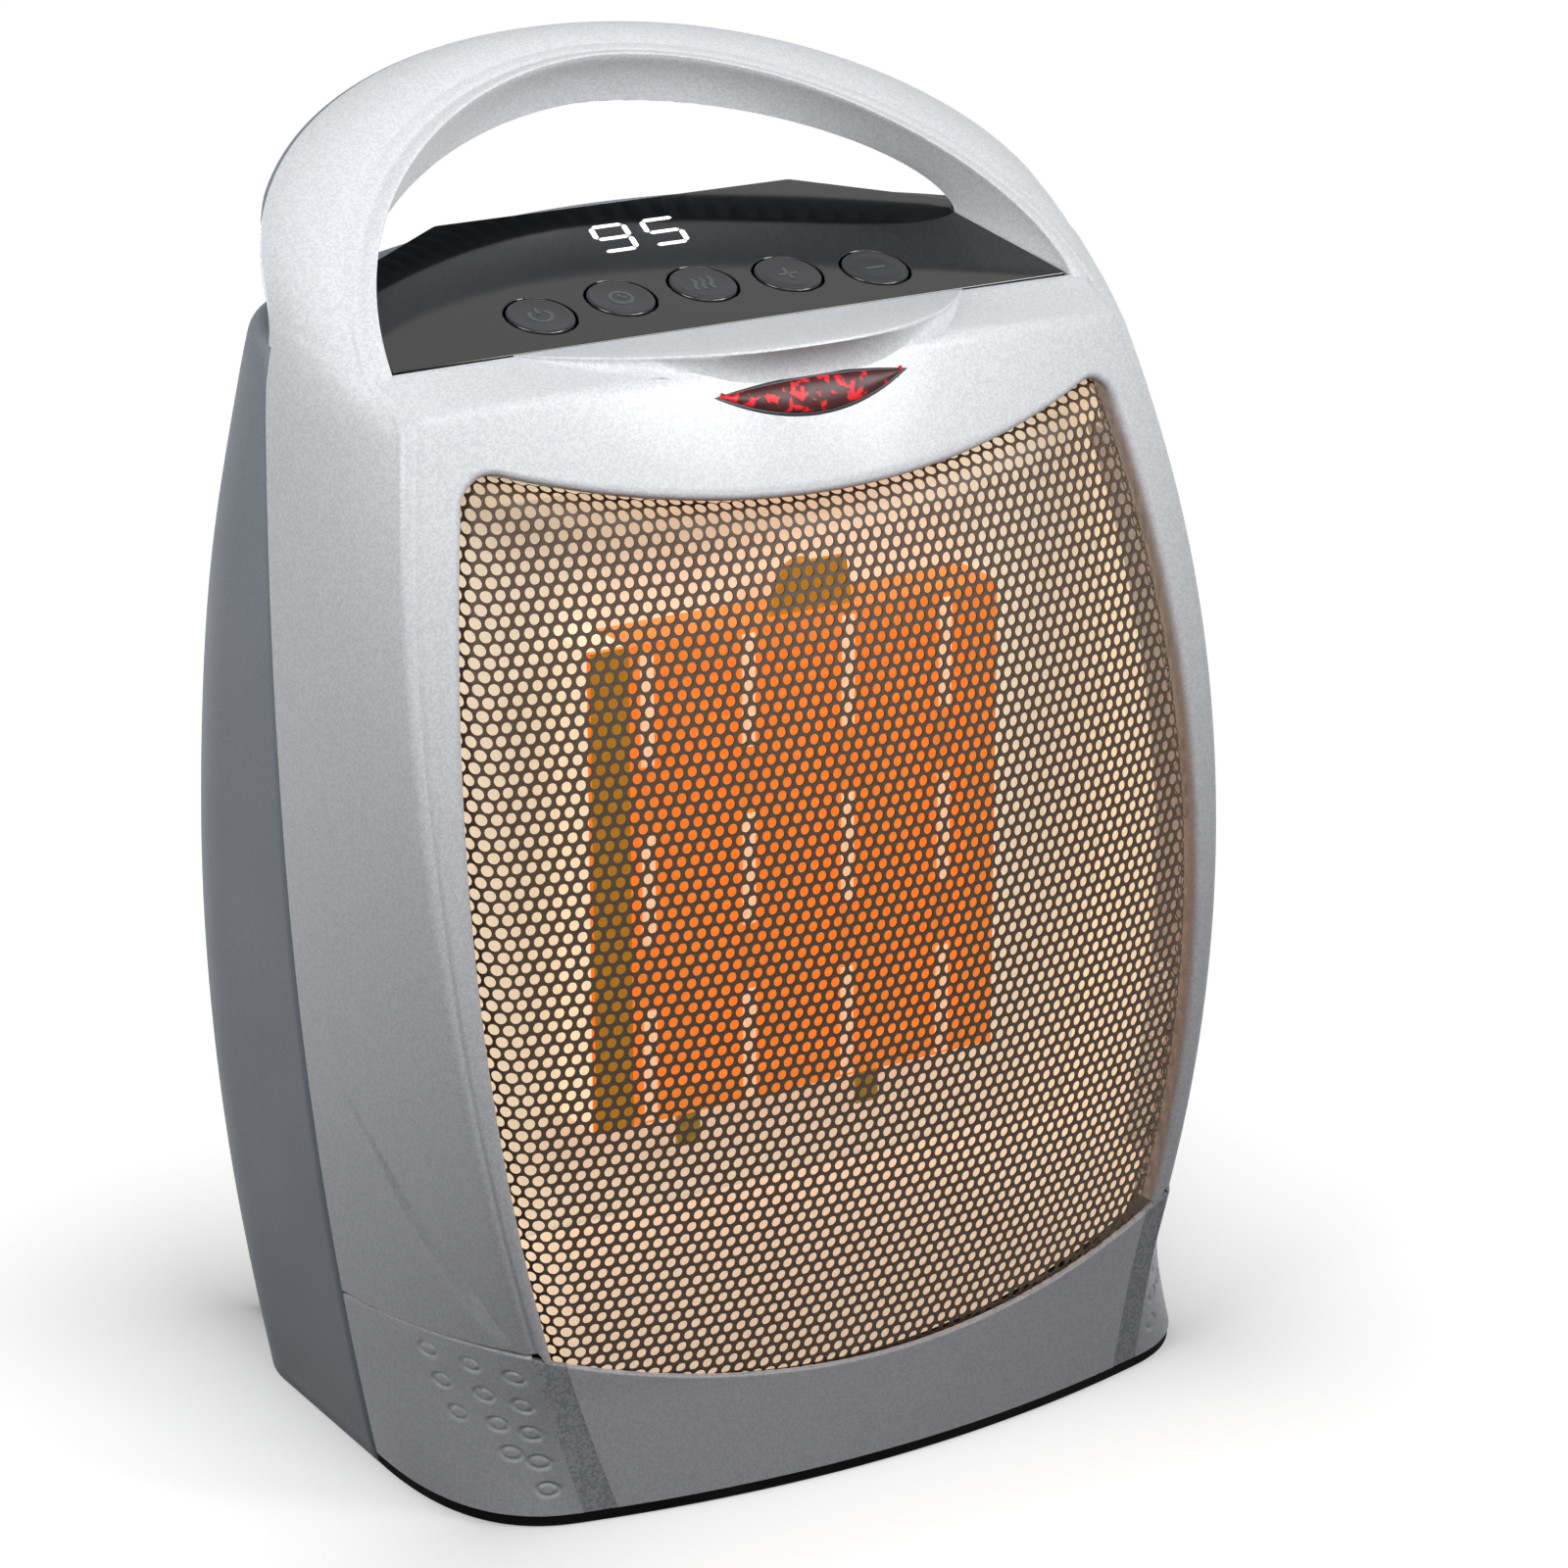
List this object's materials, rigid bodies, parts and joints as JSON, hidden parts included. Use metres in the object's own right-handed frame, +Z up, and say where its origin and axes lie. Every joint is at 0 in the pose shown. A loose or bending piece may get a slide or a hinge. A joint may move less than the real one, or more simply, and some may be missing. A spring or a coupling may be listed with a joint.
{
  "type": "ceramic heater",
  "caption": "Portable ceramic fan heater with a carrying handle, perforated front grille, sloped control panel with display and push buttons, fan and tip-over switch.",
  "frame": {"origin": "centre of the bounding box at the underside of the feet", "axes": "+X to the viewer's right when facing the grille, +Y to the back, +Z up"},
  "size_m": [0.184, 0.1391, 0.2526],
  "materials": {
    "silver_shell": "silver metallic paint on moulded ABS",
    "grey_shell": "blue-grey painted ABS, satin",
    "black_plastic": "moulded black plastic, fine grain",
    "rubber": "matt rubber",
    "screw_steel": "zinc plated",
    "panel_black": "satin black",
    "display_gloss": "glossy smoked acrylic",
    "circuit_board": "epoxy laminate",
    "red_lens": "clear red polycarbonate",
    "grille_metal": "punched sheet, dark paint",
    "heater_frame": "glass-filled heat resistant frame",
    "heater_bar": "sintered heating element",
    "heater_fin": "corrugated aluminium, warm",
    "terminal_brass": "stamped or sintered",
    "duct_plastic": "heat resistant plastic, pale",
    "bracket_steel": "zinc plated sheet",
    "fan_metal": "stamped"
  },
  "bodies": {
    "housing": {"front_shell": "silver_shell", "handle_grip": "grey_shell", "rear_shell": "grey_shell", "base_cover": "silver_shell", "base_plate": "black_plastic", "rubber_feet": "rubber", "housing_screws": "screw_steel", "cord_inlet": "black_plastic", "control_panel": "panel_black", "display_window": "display_gloss", "display_module": "display_gloss", "control_board": "circuit_board", "button_switches": "black_plastic", "indicator_lens": "red_lens", "indicator_lamp": "red_lens", "grille": "grille_metal", "ptc_frame": "heater_frame", "heating_bars": "heater_bar", "heating_fins": "heater_fin", "ptc_terminals": "terminal_brass", "cutoff_bracket": "heater_frame", "thermal_cutoff": "black_plastic", "air_duct": "duct_plastic", "fan_shroud": "black_plastic", "motor_bracket": "bracket_steel", "fan_motor": "bracket_steel", "motor_bearings": "terminal_brass", "power_board": "circuit_board", "relays": "black_plastic", "tip_switch": "black_plastic"},
    "fan_rotor": {"fan_shaft": "bracket_steel", "fan_impeller": "fan_metal", "impeller_clip": "bracket_steel"},
    "tip_plunger": {"tip_plunger": "black_plastic"},
    "power_button": {"power_button": "panel_black"},
    "timer_button": {"timer_button": "panel_black"},
    "mode_button": {"mode_button": "panel_black"},
    "plus_button": {"plus_button": "panel_black"},
    "minus_button": {"minus_button": "panel_black"}
  },
  "joints": [
    {"name": "fan_spin", "type": "hinge", "parent": "housing", "child": "fan_rotor", "pos_m": [0, 0, 0.111], "axis": [0, 1, 0], "continuous": true},
    {"name": "tip_plunger_slide", "type": "slide", "parent": "housing", "child": "tip_plunger", "axis": [0, 0, -1], "range_m": [0, 0.004]},
    {"name": "power_press", "type": "slide", "parent": "housing", "child": "power_button", "axis": [0, 0.2672, -0.9636], "range_m": [0, 0.001], "stiffness_N_per_m": 800},
    {"name": "timer_press", "type": "slide", "parent": "housing", "child": "timer_button", "axis": [0, 0.2672, -0.9636], "range_m": [0, 0.001], "stiffness_N_per_m": 800},
    {"name": "mode_press", "type": "slide", "parent": "housing", "child": "mode_button", "axis": [0, 0.2672, -0.9636], "range_m": [0, 0.001], "stiffness_N_per_m": 800},
    {"name": "plus_press", "type": "slide", "parent": "housing", "child": "plus_button", "axis": [0, 0.2672, -0.9636], "range_m": [0, 0.001], "stiffness_N_per_m": 800},
    {"name": "minus_press", "type": "slide", "parent": "housing", "child": "minus_button", "axis": [0, 0.2672, -0.9636], "range_m": [0, 0.001], "stiffness_N_per_m": 800}
  ]
}
